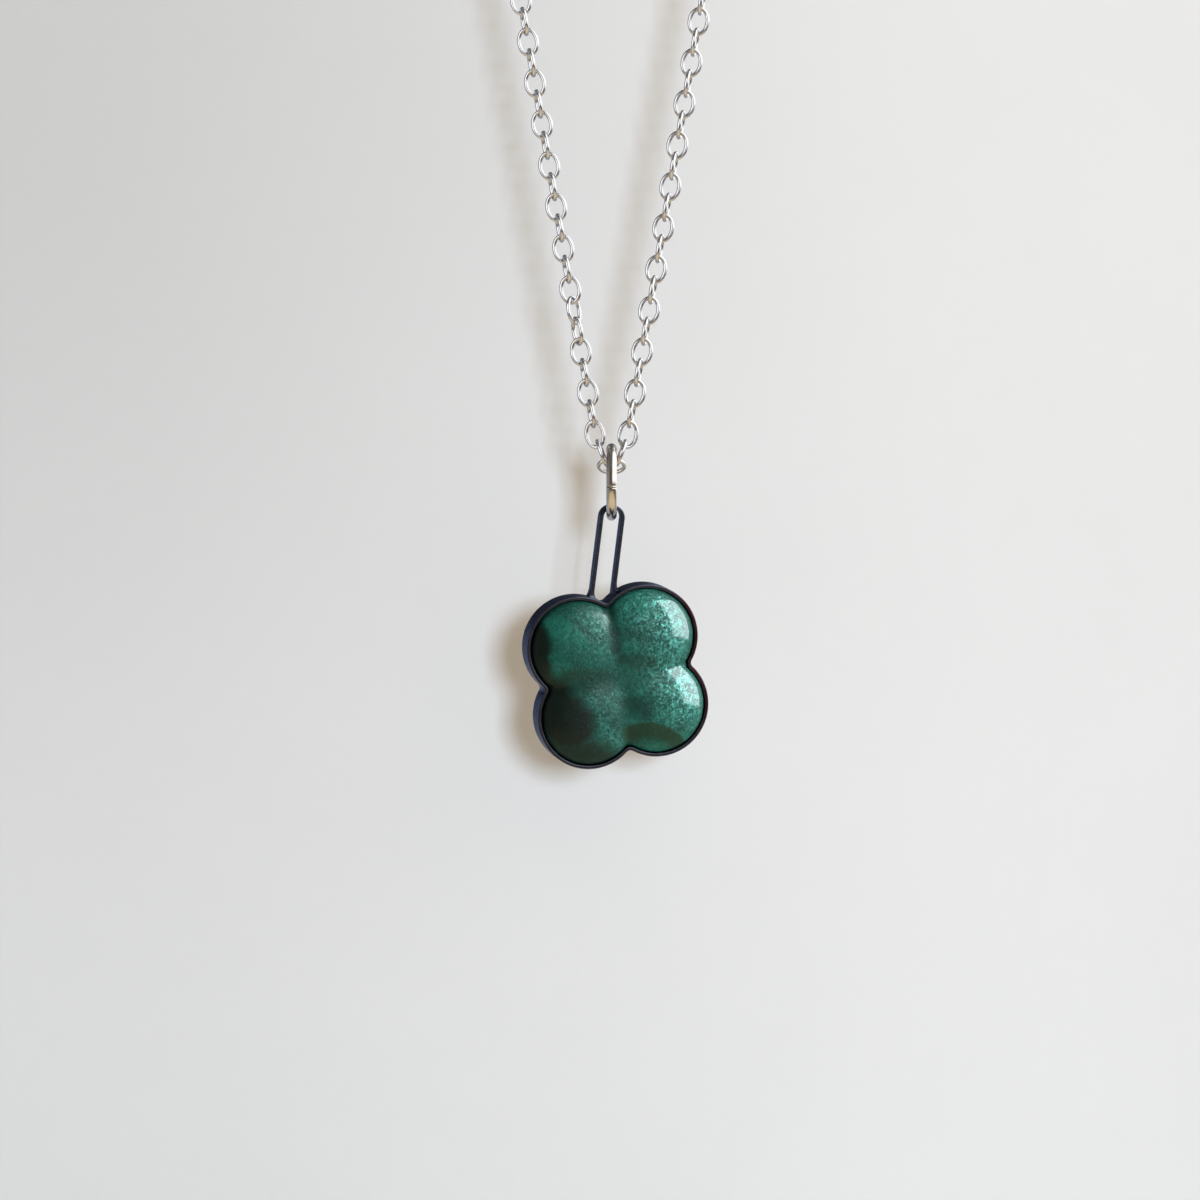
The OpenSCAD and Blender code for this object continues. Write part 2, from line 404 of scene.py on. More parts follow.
def effect_group(name, inputs, outputs):
    """A node group that takes a vector and numbers, as its input sockets and its output node."""
    group = bpy.data.node_groups.new(name, "ShaderNodeTree")
    group.interface.new_socket(name="Vector", in_out="INPUT", socket_type="NodeSocketVector")
    for socket, default in inputs.items():
        group.interface.new_socket(
            name=socket, in_out="INPUT", socket_type="NodeSocketFloat").default_value = default
    for socket in outputs:
        group.interface.new_socket(name=socket, in_out="OUTPUT", socket_type="NodeSocketFloat")
    return group.nodes.new("NodeGroupInput").outputs, group.nodes.new("NodeGroupOutput")


def use_group(name, **inputs):
    """The outputs of a group placed in a material. A name's underscores stand for spaces."""
    named = {socket.replace("_", " "): value for socket, value in inputs.items()}
    return node("Group", named, node_tree=bpy.data.node_groups[name]).outputs


def make_wear_group():
    """Fine scratches in two directions and soft smudges, for every metal piece."""
    given, out = effect_group(
        "Handling marks", {"Grain size": 20.0, "Base roughness": 0.2, "Strength": 0.1},
        ("Roughness", "Height", "Smudge"))
    heights = []
    for stretch, spin in (((1.0, 0.06, 1.0), 0.5), ((0.07, 1.0, 1.0), -0.3)):
        turned = node("Mapping", {
            "Vector": given["Vector"], "Rotation": (0.4, spin, spin), "Scale": stretch}).outputs[0]
        grain = scaled(turned, given["Grain size"])
        heights.append(fade(noise(grain, 1.0, 1.0), 0.62, 0.74))
    scratches = larger(*heights)
    smudge = noise(given["Vector"], 0.9, 3.0, 0.6)
    amount = times(maths("ADD", scratches, smudge), given["Strength"])
    feed(out, {"Roughness": maths("ADD", given["Base roughness"], amount),
               "Height": times(scratches, -1.0), "Smudge": smudge})


def make_cloud_group():
    """Soft mottling, for the stone, the wall and the floor."""
    given, out = effect_group("Clouds", {"Size": 1.0, "Low": 0.4, "High": 0.6}, ("Mask",))
    wave = noise(scaled(given["Vector"], given["Size"]), 1.0, 4.0, 0.6, 0.3)
    feed(out, {"Mask": fade(wave, given["Low"], given["High"])})


def make_fleck_group():
    """Small crystal flakes: a mask, each flake's tone and a height that tips each one its own way."""
    given, out = effect_group(
        "Flecks", {"Number": 5.0, "Share": 0.4, "Tip": 0.4}, ("Mask", "Tone", "Height"))
    drift = node("TexNoise", {"Vector": given["Vector"], "Scale": 2.4, "Detail": 2.0})
    warped = vector_maths("ADD", given["Vector"], scaled(drift.outputs["Color"], 0.35))
    cells = node("TexVoronoi", {"Vector": warped, "Scale": given["Number"]}).outputs
    tone = node("SeparateColor", {"Color": cells["Color"]}).outputs
    offset = vector_maths("SUBTRACT", warped, cells["Position"])
    lean = vector_maths("SUBTRACT", cells["Color"], (0.5, 0.5, 0.5))
    tipped = vector_maths("DOT_PRODUCT", offset, lean)
    feed(out, {"Mask": fade(tone["Red"], given["Share"], times(given["Share"], 0.7)),
               "Tone": tone["Green"], "Height": times(tipped, given["Tip"])})


def plain_material(name):
    """A new material and its Principled BSDF."""
    material = bpy.data.materials.new(name)
    material.use_nodes = True
    return material, material.node_tree.nodes["Principled BSDF"]


def object_mm(material, place=None):
    """Object coordinates in millimetres, in a piece's own plane if its matrix is given."""
    at, turned, _ = (place or Matrix.Scale(MM, 4)).decompose()
    return node("Mapping", {
        "Vector": add_node(material.node_tree, "TexCoord").outputs["Object"], "Location": at,
        "Rotation": turned.to_euler(), "Scale": (MM, MM, MM)}, vector_type="TEXTURE").outputs[0]


# Depth of the metals' scratches, in metres, and how warm the smudges make the steel
SCRATCH_DEPTH = 2e-6
WARM_CAST = (0.94, 0.91, 0.86)

# How much the smudges darken the plating, and how the plating tints what it mirrors at a low angle
PLATING_SMUDGE = (0.68, 0.68, 0.70)
PLATING_GLANCE = (0.34, 0.38, 0.48)


def worn_metal(name, grain, roughness, wear, depth, place=None):
    """A scratched metal without its colour, as its material, shader, coordinates and smudges."""
    material, shader = plain_material(name)
    where = object_mm(material, place)
    marks = use_group("Handling marks", Vector=where, Grain_size=grain, Base_roughness=roughness,
                      Strength=wear)
    bump = node("Bump", {"Height": marks["Height"], "Strength": depth, "Distance": SCRATCH_DEPTH})
    feed(shader, {"Roughness": marks["Roughness"], "Normal": bump.outputs[0], "Metallic": 1.0})
    return material, shader, where, marks["Smudge"]


def steel_material(name, metal, grain, roughness):
    """Polished steel with fine scratches, smudges and a faint warm cast."""
    material, shader, _, smudge = worn_metal(name, grain, roughness, wear=0.09, depth=0.18)
    warm = [channel * cast for channel, cast in zip(metal, WARM_CAST)]
    feed(shader, {"Base Color": blended(fade(smudge, 0.42, 0.68), metal, warm)})
    return material


def dark_metal_material(colours, place, shape):
    """Dark plating with a blue cast and a painted purple reflection towards the right edge."""
    material, shader, where, smudge = worn_metal(
        "dark plated steel", grain=14.0, roughness=0.16, wear=0.12, depth=0.2, place=place)
    # Painted reflection: a purple cast laid on the plating's right side, the side that faces the light
    wavy = maths("ADD", xyz(where)["X"], times(noise(where, 0.45, 3.0), 4.0))
    purple = fade(wavy, shape.notch_bottom, shape.notch_bottom + 3.0)
    tone = blended(purple, colours.dark_metal, colours.dark_metal_tint)
    tone = blended(fade(smudge, 0.35, 0.75), tone, PLATING_SMUDGE, "MULTIPLY")
    feed(shader, {"Base Color": tone, "Specular Tint": PLATING_GLANCE})
    return material


def near_line(where, start, end, half_width, edge, wobble):
    """A mask that is 1 along a line across the stone's face and fades over its edge, unevenly."""
    start, end = Vector((*start, 0)), Vector((*end, 0))
    along, middle = end - start, (end + start) / 2
    half = along.length / 2
    along.normalize()
    across = Vector((-along.y, along.x, 0))
    aside = maths("SUBTRACT", vector_maths("DOT_PRODUCT", where, across), across.dot(middle))
    ahead = maths("SUBTRACT", vector_maths("DOT_PRODUCT", where, along), along.dot(middle))
    past = larger(maths("SUBTRACT", maths("ABSOLUTE", ahead), half), 0.0)
    away = maths("SQRT", maths("ADD", times(aside, aside), times(past, past)))
    return fade(maths("ADD", away, wobble), half_width, half_width - edge)


# Zones of the stone: a line across its face in millimetres, with the zone's half width, the width of
# its soft edge and its depth. The dark zones are mostly painted shade and painted dark reflections, on
# the left side, in the valleys between the lobes and in the middle, with some darker stone among them
DARK_AND_SHADED_ZONES = (
    ((-7.6, 5.0), (-8.0, 1.2), 2.2, 0.9, 0.97),
    ((-6.8, -1.1), (-5.4, -3.4), 3.5, 2.0, 0.98),
    ((-6.4, -5.6), (-3.2, -7.6), 3.2, 2.2, 0.80),
    ((0.1, 7.0), (0.1, 2.8), 0.9, 0.8, 0.60),
    ((-4.6, 0.6), (-1.6, 0.0), 2.0, 1.6, 0.55),
    ((0.4, 1.8), (3.0, 1.0), 1.1, 1.0, 0.45),
    ((0.2, -2.6), (1.6, -3.1), 1.6, 1.4, 0.50),
    ((-2.4, -2.0), (-0.6, -4.6), 1.6, 1.5, 0.35),
    ((1.6, 3.9), (2.8, 3.4), 1.4, 1.3, 0.38),
    ((-1.0, 0.6), (0.4, -0.4), 1.6, 1.4, 0.25),
)
# Pale zones: lighter stone, and painted light where the lobes' tops and right sides face the light
PALE_AND_LIT_ZONES = (
    ((-5.6, 6.0), (-3.2, 4.4), 1.9, 1.8, 0.85),
    ((1.2, 7.0), (4.4, 6.6), 1.9, 1.6, 1.0),
    ((6.6, 5.4), (5.8, 1.6), 1.5, 1.3, 0.6),
    ((6.6, -0.6), (6.2, -4.6), 2.0, 1.7, 0.6),
    ((1.8, -7.3), (5.0, -6.6), 1.1, 0.9, 0.9),
)

# Single marks in the same form, without a depth: the vein, a patch with a duller polish, and the streak
# and the broad band that have the most crystal flakes
VEIN = ((-4.0, 6.8), (-1.6, 3.6), 0.38, 0.32)
DULL_PATCH = ((-1.4, 5.6), (-1.0, 4.8), 2.0, 1.6)
STREAK = ((-2.9, -1.4), (-1.1, -5.8), 1.3, 1.1)
BAND = ((3.2, 6.6), (5.4, -3.4), 4.0, 3.0)

# The dark lens low on the right lobe is a painted reflection of the dark room below. In millimetres: the
# circle that its upper edge follows, that edge's width, how far within the circle the lens fades out,
# and where its left end does
LENS_CENTRE, LENS_RADIUS, LENS_EDGE = (1.0, -9.1), 4.85, 0.3
LENS_LOW, LENS_LEFT = (2.3, 1.1), (-1.9, -1.0)


def zone_mask(where, zones, wobble):
    """A mask of several soft zones across the stone's face."""
    mask = 0.0
    for *zone, depth in zones:
        mask = larger(mask, times(near_line(where, *zone, wobble), depth))
    return mask


def dark_reflection_lens_mask(where, wobble):
    """A painted dark reflection: a lens low on the right lobe, sharp along its upper edge and fading
    downwards.
    """
    gap = vector_maths("SUBTRACT", where, (*LENS_CENTRE, 0.0))
    flat = vector_maths("MULTIPLY", gap, (1.0, 1.0, 0.0))
    away = maths("ADD", vector_maths("LENGTH", flat), times(wobble, 0.5))
    upper = fade(away, LENS_RADIUS, LENS_RADIUS - LENS_EDGE)
    lower = fade(away, *(LENS_RADIUS - deep for deep in LENS_LOW))
    left = fade(xyz(gap)["X"], *LENS_LEFT)
    return times(times(upper, left), lower)


def uneven(where, scale, detail, roughness, reach):
    """A soft noise about zero, which moves a zone's edge by up to half its reach in millimetres."""
    return times(maths("SUBTRACT", noise(where, scale, detail, roughness), 0.5), reach)


def stone_material(colours, place):
    """Deep green stone with clouds, dark zones of painted shade and dark reflection with some darker
    stone, pale zones of lighter stone and painted light, a painted dark reflection low on the right
    lobe, a vein and crystal flakes under a clear polish.
    """
    material, shader = plain_material("green stone")
    where = object_mm(material, place)
    wobble = uneven(where, 0.9, 3.0, 0.6, reach=1.4)
    drift = times(wobble, 0.75)
    ripple = uneven(where, 1.3, 2.0, 0.5, reach=0.5)

    clouds = use_group("Clouds", Vector=where, Size=0.42, Low=0.30, High=0.66)["Mask"]
    mottle = use_group("Clouds", Vector=where, Size=1.9, Low=0.40, High=0.60)["Mask"]
    grain = fade(noise(where, 3.7, 2.0, 0.55), 0.50, 0.66)
    # Lighter stone and painted light where the lobes face the light
    pale = larger(times(clouds, 0.45), zone_mask(where, PALE_AND_LIT_ZONES, wobble))
    # Painted shade and dark reflections, with some darker stone
    dark = zone_mask(where, DARK_AND_SHADED_ZONES, drift)
    # A painted reflection of the dark room below, low on the right lobe
    dark_reflection_lens = times(dark_reflection_lens_mask(where, ripple), 0.8)
    vein, dull, streak = (near_line(where, *mark, ripple) for mark in (VEIN, DULL_PATCH, STREAK))
    band = near_line(where, *BAND, wobble)
    lively = maths("ADD", 0.20, times(larger(streak, band), 0.55))
    spread = times(lively, maths("SUBTRACT", 1.0, larger(dark, dark_reflection_lens)))

    coarse, fine = (
        use_group("Flecks", Vector=where, Number=number, Share=0.42, Tip=0.5) for number in (3.6, 6.2))
    flakes = larger(*(times(size["Mask"], size["Tone"]) for size in (coarse, fine)))
    shown = times(times(flakes, spread), 0.6)
    dusty = times(times(grain, spread), 0.6)

    body = blended(pale, colours.stone_deep, colours.stone_mid)
    for mask, tone in (
            (times(mottle, 0.6), colours.stone_deep), (vein, colours.stone_deep),
            (times(lively, 0.4), colours.stone_deep), (dusty, colours.stone_fleck),
            (shown, colours.stone_fleck), (dark, colours.stone_dark), (dark_reflection_lens, colours.stone_olive)):
        body = blended(mask, body, tone)

    height = maths("ADD", times(coarse["Height"], 0.6), fine["Height"])
    bump = node("Bump", {"Height": height, "Strength": 0.4, "Distance": MM})
    feed(shader, {
        "Base Color": body, "Normal": bump.outputs[0], "Metallic": times(shown, 0.3),
        "Roughness": maths("SUBTRACT", 0.50, times(flakes, 0.15)),
        "Coat Weight": maths("SUBTRACT", 0.20, times(dull, 0.15)),
        "Coat Roughness": 0.10, "Coat IOR": 1.5, "IOR": 1.54, "Specular IOR Level": 0.06})
    return material


def see_through_back(material):
    """Lets a camera behind the wall look through it."""
    tree = material.node_tree
    clear = add_node(tree, "BsdfTransparent").outputs[0]
    behind = add_node(tree, "NewGeometry").outputs["Backfacing"]
    mixed = node("MixShader", {0: behind, 1: tree.nodes["Principled BSDF"].outputs[0], 2: clear})
    feed(tree.nodes["Material Output"], {"Surface": mixed.outputs[0]})


# Tone of the paint's darker clouds, how much painted shade darkens the wall at its left, and how much
# more it darkens it at the top. In millimetres from the photograph's middle, where that shade starts and
# ends across and upwards
PAINT_MOTTLE = 0.965
WALL_SHADE, WALL_SHADE_ABOVE = 0.10, 0.12
SHADE_ACROSS, SHADE_UP = (40, -60), (-50, 50)


def painted_wall_shade(where):
    """Painted shade: how much darker the wall is painted towards its left, and most of all at the top
    there.
    """
    at = xyz(where)
    middle = frame_middle() / MM
    left = fade(at["X"], *(middle.x + way for way in SHADE_ACROSS))
    top = fade(at["Z"], *(middle.z + way for way in SHADE_UP))
    return times(left, maths("ADD", WALL_SHADE, times(top, WALL_SHADE_ABOVE)))


def stage_material(name, tone, shaded=False):
    """Matt paint with a faint roller texture, soft mottling and, if it is shaded, the room's falloff
    painted in as shade.
    """
    material, shader = plain_material(name)
    where = object_mm(material)
    mask = use_group("Clouds", Vector=where, Size=0.012, Low=0.3, High=0.7)["Mask"]
    paint = blended(mask, tone, [channel * PAINT_MOTTLE for channel in tone])
    if shaded:
        # Painted shade, darker to the left and higher up there
        paint = blended(painted_wall_shade(where), paint, (0, 0, 0))
    bump = node("Bump", {"Height": noise(where, 1.6, 3.0), "Strength": 0.05, "Distance": 1e-4})
    feed(shader, {"Base Color": paint, "Normal": bump.outputs[0], "Roughness": 0.85})
    return material


# Pieces


# Steps round a lobe, a notch and a half turn of the bail, and the cuts across the bail's foot that let
# it flare, so many millimetres apart
LOBE_STEPS, NOTCH_STEPS, BEND_STEPS = 44, 12, 28
FOOT_CUTS, FOOT_STEP = 15, 0.1


def clover_loop(bm, s):
    """The edges of the clover's outline, spun arc by arc."""
    shape = clover_shape(s)
    first = Matrix.Rotation(shape.lobe_start, 3, "Z") @ Vector((shape.lobe_r, 0, 0))
    lobe = Vector((shape.lobe_off, shape.lobe_off, 0))
    tip = [bm.verts.new(lobe + first)]
    for side in range(4):
        turned = Matrix.Rotation(side * pi / 2, 3, "Z")
        tip = carry(bm, tip, turned @ lobe, shape.lobe_sweep, LOBE_STEPS)
        tip = carry(bm, tip, turned @ Vector((0, shape.notch_at, 0)), -shape.notch_sweep, NOTCH_STEPS)
    bmesh.ops.remove_doubles(bm, verts=bm.verts, dist=1e-4)
    return bm.edges[:]


def make_cup(s, place):
    """Open cup with a thin rim and a back plate in the clover's outline."""
    bm = bmesh.new()
    back = bmesh.ops.contextual_create(bm, geom=clover_loop(bm, s))["faces"]
    front = only(BMFace, push(bm, back, (0, 0, s.cup_depth)))
    bmesh.ops.inset_region(bm, faces=front, thickness=s.rim, use_even_offset=True)
    push(bm, front, (0, 0, s.back - s.cup_depth))
    bmesh.ops.delete(bm, geom=front, context="FACES_ONLY")
    tidy(bm)
    round_edges(bm, SHARP_EDGE, s.edge_round)
    return mesh_object("clover_setting", bm, place)


def make_bail(s, place):
    """Flat strip bent into a long closed loop that stands on the notch."""
    bm = bmesh.new()
    inner, outer = s.slot_width / 2, s.slot_width / 2 + s.strip
    low, high = inner, s.slot_length - inner
    back, front = s.strip_lift, s.strip_lift + s.strip_depth
    corners = [bm.verts.new((x, low, z)) for x, z in (
        (inner, back), (outer, back), (outer, front), (inner, front))]
    strip = [bm.edges.new((corners[k], corners[(k + 1) % 4])) for k in range(4)]
    strip = only(BMEdge, push(bm, strip + corners, (0, high - low, 0)))
    strip = only(BMEdge, carry(bm, strip, (0, high, 0), pi, BEND_STEPS))
    strip = only(BMEdge, push(bm, strip, (0, low - high, 0)))
    carry(bm, strip, (0, low, 0), pi, BEND_STEPS)
    tidy(bm, 1e-4)
    for k in range(1, FOOT_CUTS + 1):
        bmesh.ops.bisect_plane(
            bm, geom=bm.verts[:] + bm.edges[:] + bm.faces[:], plane_co=(0, low + k * FOOT_STEP, 0),
            plane_no=(0, 1, 0))
    shape = clover_shape(s)
    stand = (Matrix.Translation((-s.slot_shift, shape.notch_bottom, 0))
             @ Matrix.Rotation(-s.bail_lean, 4, "Z"))
    spread = s.solder_flare * 2
    for vert in bm.verts:
        side = 1 if vert.co.x > 0 else -1
        lobe = Vector((side * shape.lobe_off, shape.lobe_off))
        away = max(0, ((stand @ vert.co).xy - lobe).length - shape.lobe_r)
        if away < spread and hypot(vert.co.x, min(0, vert.co.y - low)) > (inner + outer) / 2:
            rest = 1 - away / spread
            vert.co.x += side * s.solder_flare * (1 - sqrt(1 - rest * rest))
    round_edges(bm, SHARP_EDGE, s.edge_round)
    return mesh_object("bail", bm, place @ stand)


class PENDANT_OT_setting(bpy.types.Operator):
    """Make the dark metal cup and the slotted bail soldered to it"""

    bl_idname = "pendant.setting"
    bl_label = "Setting and bail"

    def execute(self, context):
        s = in_mm(context.scene.pendant_sizes)
        place = pendant_place(s)
        setting = make_cup(s, place)
        unite(setting, make_bail(s, place))
        weigh_normals(setting)
        metal = dark_metal_material(context.scene.pendant_colours, place, clover_shape(s))
        hand_over(setting, "pendant", "setting", metal)
        return {"FINISHED"}


def dome(distance, radius, power):
    """One dome, from 1 over its centre down to 0 at its edge."""
    return 0 if distance >= radius else (1 - (distance / radius) ** power) ** (1 / power)


def stone_height(s, shape, inset, x, y):
    """Height of the stone over its upright side: four lobes and a middle, blended."""
    off, radius = shape.lobe_off, shape.lobe_r - inset
    domes = [
        dome(hypot(x - a * off, y - b * off), radius, s.dome_power) for a in (-1, 1) for b in (-1, 1)]
    domes.append(s.centre_share * dome(hypot(x, y), shape.notch_bottom - inset, s.dome_power))
    return s.dome_height * sum(height ** s.valley for height in domes) ** (1 / s.valley)


def stone_reach(s, shape, inset, turn):
    """Distance from the stone's middle to its outline, at an angle from a notch."""
    turn = (turn + pi / 4) % (pi / 2) - pi / 4
    lobe_r, notch_r = shape.lobe_r - inset, s.notch_radius + inset
    limit = atan2(
        shape.lobe_off * notch_r,
        shape.notch_at * (lobe_r + notch_r) - (shape.notch_at - shape.lobe_off) * notch_r)
    if abs(turn) < limit:
        return shape.notch_at * cos(turn) - sqrt(notch_r ** 2 - (shape.notch_at * sin(turn)) ** 2)
    far, rest = shape.lobe_off * sqrt(2), pi / 4 - abs(turn)
    return far * cos(rest) + sqrt(lobe_r ** 2 - (far * sin(rest)) ** 2)


class PENDANT_OT_stone(bpy.types.Operator):
    """Make the puffed four-lobed stone"""

    bl_idname = "pendant.stone"
    bl_label = "Stone"

    sides: IntProperty(name="Sides", description="Faces round the stone", default=288, min=16)
    rings: IntProperty(name="Rings", description="Faces from the edge to the middle", default=64, min=8)

    def execute(self, context):
        s = in_mm(context.scene.pendant_sizes)
        shape = clover_shape(s)
        inset = s.rim + s.stone_gap
        base = s.back + s.stone_gap
        girdle = s.cup_depth - s.girdle_drop
        bm = bmesh.new()
        bmesh.ops.create_circle(bm, segments=self.sides, radius=1)
        ring, reach = bm.edges[:], 1
        for k in range(1, self.rings):
            wanted = cos(pi / 2 * k / self.rings)
            grown = bmesh.ops.extrude_edge_only(bm, edges=ring)["geom"]
            bmesh.ops.scale(bm, vec=[wanted / reach] * 3, verts=only(BMVert, grown))
            ring, reach = only(BMEdge, grown), wanted
        bmesh.ops.poke(bm, faces=bmesh.ops.contextual_create(bm, geom=ring)["faces"])
        for vert in bm.verts:
            x, y, _ = vert.co
            full = stone_reach(s, shape, inset, atan2(x, y))
            x, y = x * full, y * full
            vert.co = (x, y, girdle + stone_height(s, shape, inset, x, y))
        edge = [line for line in bm.edges if line.is_boundary]
        skirt = only(BMEdge, push(bm, edge, (0, 0, base - girdle)))
        bmesh.ops.contextual_create(bm, geom=skirt)
        tidy(bm)
        place = pendant_place(s)
        stone = mesh_object("green_stone", bm, place)
        stone.data.set_sharp_from_angle(angle=radians(60))
        material = stone_material(context.scene.pendant_colours, place)
        hand_over(stone, "pendant", "stone", material)
        return {"FINISHED"}


# The ring's steps, the sides of its wire, and the angle and radius that round the ends at its joint
RING_STEPS, RING_SIDES = 84, 20
JOINT_EDGE, JOINT_ROUND = radians(60), 0.08


class PENDANT_OT_ring(bpy.types.Operator):
    """Make the split jump ring, seen edge on"""

    bl_idname = "pendant.ring"
    bl_label = "Jump ring"

    def execute(self, context):
        s = in_mm(context.scene.pendant_sizes)
        line_r = (s.ring_diameter - s.ring_wire) / 2
        split = s.ring_split / line_r
        bm = bmesh.new()
        disc = bmesh.ops.create_circle(
            bm, segments=RING_SIDES, radius=s.ring_wire / 2, cap_ends=True)["verts"]
        first = Matrix.Rotation(s.split_drop - split / 2 - pi, 4, "X")
        bmesh.ops.transform(bm, matrix=first @ Matrix.Translation((0, line_r, 0)), verts=disc)
        wire = bm.faces[:] + bm.edges[:] + bm.verts[:]
        carry(bm, wire, (0, 0, 0), split - 2 * pi, RING_STEPS, axis=(1, 0, 0))
        tidy(bm)
        for vert in bm.verts:
            away = atan2(vert.co.z, vert.co.y) + pi - s.split_drop
            if abs(away) < split:
                closing = s.split_pinch * (0.5 - vert.co.x / s.ring_wire)
                vert.co = Matrix.Rotation(-away * closing, 3, "X") @ vert.co
        round_edges(bm, JOINT_EDGE, JOINT_ROUND)
        ring = mesh_object("split_ring", bm, set_down(RING_FOOT + Vector((0, 0, line_r * MM))))
        weigh_normals(ring)
        colours = context.scene.pendant_colours
        steel = steel_material("ring steel", colours.ring_steel, grain=9.0, roughness=0.15)
        hand_over(ring, "ring", "jump_ring", steel)
        return {"FINISHED"}


# Gap between the clasp's eye and the link through it, and where the two links beside the middle one
# are from it, in millimetres
EYE_GAP = 0.13
FIRST_LINK = Vector((0.88, -0.35, 1.18))
SECOND_LINK = Vector((1.51, 0, 2.89))

# Turns of the links about their strand in degrees: the first two, then face on and edge on by turns. The
# left strand has a quarter turn in it at this link and the one before
FIRST_ROLL, SECOND_ROLL, FACE_ROLL, EDGE_ROLL = 94.5, 19.5, 6, 80
TWIST_LINK, TWIST_ROLLS = 6, (66, 126)


def link_mesh(c):
    """One upright link from few faces, which a subdivision surface then rounds."""
    around, across = 12, 6
    wire = c.wire / 2 / cos(pi / across)
    bend = (c.link_width - c.wire) / 2 / cos(pi / around)
    bm = bmesh.new()
    add_hoop(bm, wire, bend, across, around, turn=pi / around)
    longer = (c.link_length - c.link_width) / 2
    for vert in bm.verts:
        vert.co.z += longer * sin(atan2(vert.co.z, vert.co.x))
    tidy(bm)
    mesh = bpy.data.meshes.new("link")
    bm.to_mesh(mesh)
    bm.free()
    return mesh


def strand_path(c):
    """Length, radius and centre of the strand's straight stretch and arc, from the middle link."""
    lean = c.strand_angle
    hook = (c.link_length - c.wire) / 2 - (c.eye_wire + c.wire) / 2 - EYE_GAP
    half = (c.links_per_side - 1) * c.pitch + hook + (c.clasp_length - c.eye_wire) / 2
    radius = (half + SECOND_LINK.x / sin(lean)) / (1 / tan(lean) + pi / 2 + lean)
    straight = (radius * cos(lean) - SECOND_LINK.x) / sin(lean)
    centre = SECOND_LINK.z + straight * cos(lean) + radius * sin(lean)
    return straight, radius, centre


def link_roll(k, twisted):
    """Turn of a strand's link about the strand, in degrees."""
    if twisted and TWIST_LINK - 1 <= k <= TWIST_LINK:
        return TWIST_ROLLS[k - TWIST_LINK + 1]
    place = k + 1 if twisted and k > TWIST_LINK else k
    return SECOND_ROLL if place == 0 else FACE_ROLL if place % 2 == 0 else EDGE_ROLL


def link_places(c, twisted):
    """Matrices of one right-hand strand's links, in millimetres from the middle link."""
    straight, radius, centre = strand_path(c)
    lean = c.strand_angle
    step = SECOND_LINK - FIRST_LINK
    yield (Matrix.Translation(FIRST_LINK) @ Matrix.Rotation(atan2(step.x, step.z), 4, "Y")
           @ Matrix.Rotation(-asin(step.y / step.length), 4, "X")
           @ Matrix.Rotation(radians(FIRST_ROLL), 4, "Z"))
    for k in range(c.links_per_side):
        way = k * c.pitch
        if way < straight:
            bend = 0
            at = SECOND_LINK + way * Vector((sin(lean), 0, cos(lean)))
        else:
            bend = (way - straight) / radius
            turn = bend - lean
            at = Vector((radius * cos(turn), 0, centre + radius * sin(turn)))
        yield (Matrix.Translation(at) @ Matrix.Rotation(lean - bend, 4, "Y")
               @ Matrix.Rotation(radians(link_roll(k, twisted)), 4, "Z"))


class PENDANT_OT_chain(bpy.types.Operator):
    """Make the two halves of the cable chain"""

    bl_idname = "pendant.chain"
    bl_label = "Chain"

    def execute(self, context):
        c = in_mm(context.scene.chain_sizes)
        link = link_mesh(c)
        colours = context.scene.pendant_colours
        steel = steel_material("chain steel", colours.steel, grain=16.0, roughness=0.14)
        flip = Matrix.Scale(-1, 4, (1, 0, 0))
        middle = Matrix.Rotation(c.middle_tilt, 4, "X") @ Matrix.Rotation(pi / 2, 4, "Y")
        halves = {
            "right": [middle, *link_places(c, False)],
            "left": [flip @ place @ flip for place in link_places(c, True)],
        }
        for side, places in halves.items():
            bm = bmesh.new()
            for place in places:
                before = len(bm.verts)
                bm.from_mesh(link)
                bm.verts.ensure_lookup_table()
                bmesh.ops.transform(bm, matrix=place, verts=bm.verts[before:])
            half = mesh_object(f"{side}_chain", bm, set_down(MIDDLE_LINK))
            rounding = half.modifiers.new("rounding", "SUBSURF")
            rounding.levels = rounding.render_levels = 1
            hand_over(half, "necklace", f"chain_{side}", steel)
        bpy.data.meshes.remove(link)
        return {"FINISHED"}


# The barrel's outline from its end towards its middle, in shares of its half length and its radius
BARREL = ((0, 0), (0, 0.5), (0.04, 0.62), (0.42, 0.98), (0.6, 1), (0.72, 0.94), (0.8, 0.94), (0.92, 1))
BARREL_STEPS, EYE_STEPS, EYE_SIDES = 48, 32, 12


